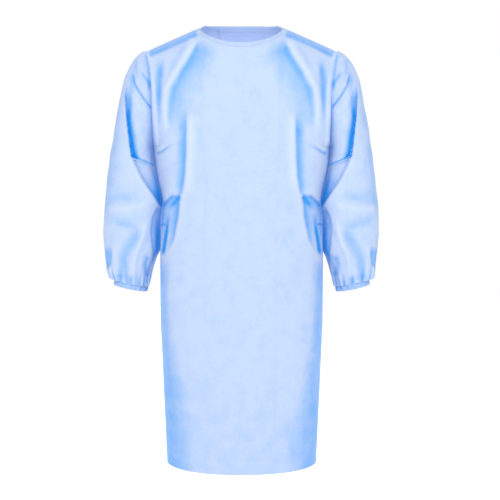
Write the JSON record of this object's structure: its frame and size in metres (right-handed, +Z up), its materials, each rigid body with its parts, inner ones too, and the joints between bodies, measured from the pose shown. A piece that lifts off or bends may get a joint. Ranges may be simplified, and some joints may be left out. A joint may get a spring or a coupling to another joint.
{
  "type": "isolation gown",
  "caption": "Long-sleeved disposable isolation gown with a round neck, elastic cuffs and an overlapping back opening, hung in its worn shape.",
  "frame": {"origin": "middle of the neck opening, level with the shoulder seams at the neck", "axes": "+Z up along the body, -Y out of the front panel, +X towards the sleeve on the viewer's right"},
  "size_m": [0.7214, 0.2802, 1.1487],
  "materials": {
    "gown_fabric": "matt spun-bonded nonwoven",
    "binding": "matt nonwoven tape",
    "seam": "overlocked nonwoven edge",
    "elastic": "knitted elastic tape",
    "hook_and_loop": "fine hook and loop tape"
  },
  "bodies": {
    "root": {"front_panel": "gown_fabric", "back_side_left": "gown_fabric", "back_side_right": "gown_fabric", "neck_binding": "binding", "shoulder_seam_left": "seam", "shoulder_seam_right": "seam", "armhole_seam_left": "seam", "armhole_seam_right": "seam", "side_seam_left": "seam", "side_seam_right": "seam"},
    "flap_left": {"back_flap_left": "gown_fabric", "neck_binding_end_left": "binding", "hook_patch": "hook_and_loop"},
    "flap_right": {"back_flap_right": "gown_fabric", "neck_binding_end_right": "binding", "loop_patch": "hook_and_loop"},
    "sleeve_left": {"sleeve_upper_left": "gown_fabric"},
    "sleeve_right": {"sleeve_upper_right": "gown_fabric"},
    "forearm_left": {"sleeve_lower_left": "gown_fabric", "cuff_casing_left": "gown_fabric", "cuff_elastic_left": "elastic", "underarm_seam_left": "seam"},
    "forearm_right": {"sleeve_lower_right": "gown_fabric", "cuff_casing_right": "gown_fabric", "cuff_elastic_right": "elastic", "underarm_seam_right": "seam"},
    "tie_left": {"waist_tie_left": "gown_fabric"},
    "tie_right": {"waist_tie_right": "gown_fabric"}
  },
  "joints": [
    {"name": "flap_left_open", "type": "hinge", "parent": "root", "child": "flap_left", "pos_m": [-0.15, 0.1, -0.5], "axis": [0, 0, 1], "range_deg": [0, 70]},
    {"name": "flap_right_open", "type": "hinge", "parent": "root", "child": "flap_right", "pos_m": [0.15, 0.1, -0.5], "axis": [0, 0, 1], "range_deg": [-21, 0]},
    {"name": "shoulder_left", "type": "hinge", "parent": "root", "child": "sleeve_left", "pos_m": [-0.253, 0, -0.062], "axis": [0, 1, 0], "range_deg": [0, 50]},
    {"name": "shoulder_right", "type": "hinge", "parent": "root", "child": "sleeve_right", "pos_m": [0.253, 0, -0.062], "axis": [0, -1, 0], "range_deg": [0, 50]},
    {"name": "elbow_left", "type": "hinge", "parent": "sleeve_left", "child": "forearm_left", "pos_m": [-0.29, -0.082, -0.4], "axis": [-1, 0, 0], "range_deg": [0, 90]},
    {"name": "elbow_right", "type": "hinge", "parent": "sleeve_right", "child": "forearm_right", "pos_m": [0.29, -0.082, -0.4], "axis": [-1, 0, 0], "range_deg": [0, 90]},
    {"name": "tie_left_swing", "type": "hinge", "parent": "root", "child": "tie_left", "pos_m": [-0.178, 0.08778, -0.495], "axis": [1, 0, 0], "range_deg": [0, 80]},
    {"name": "tie_right_swing", "type": "hinge", "parent": "root", "child": "tie_right", "pos_m": [0.178, 0.08778, -0.495], "axis": [1, 0, 0], "range_deg": [0, 80]}
  ],
  "couplings": [
    {"joint": "flap_right_open", "follows": "flap_left_open", "ratio": -0.3}
  ]
}
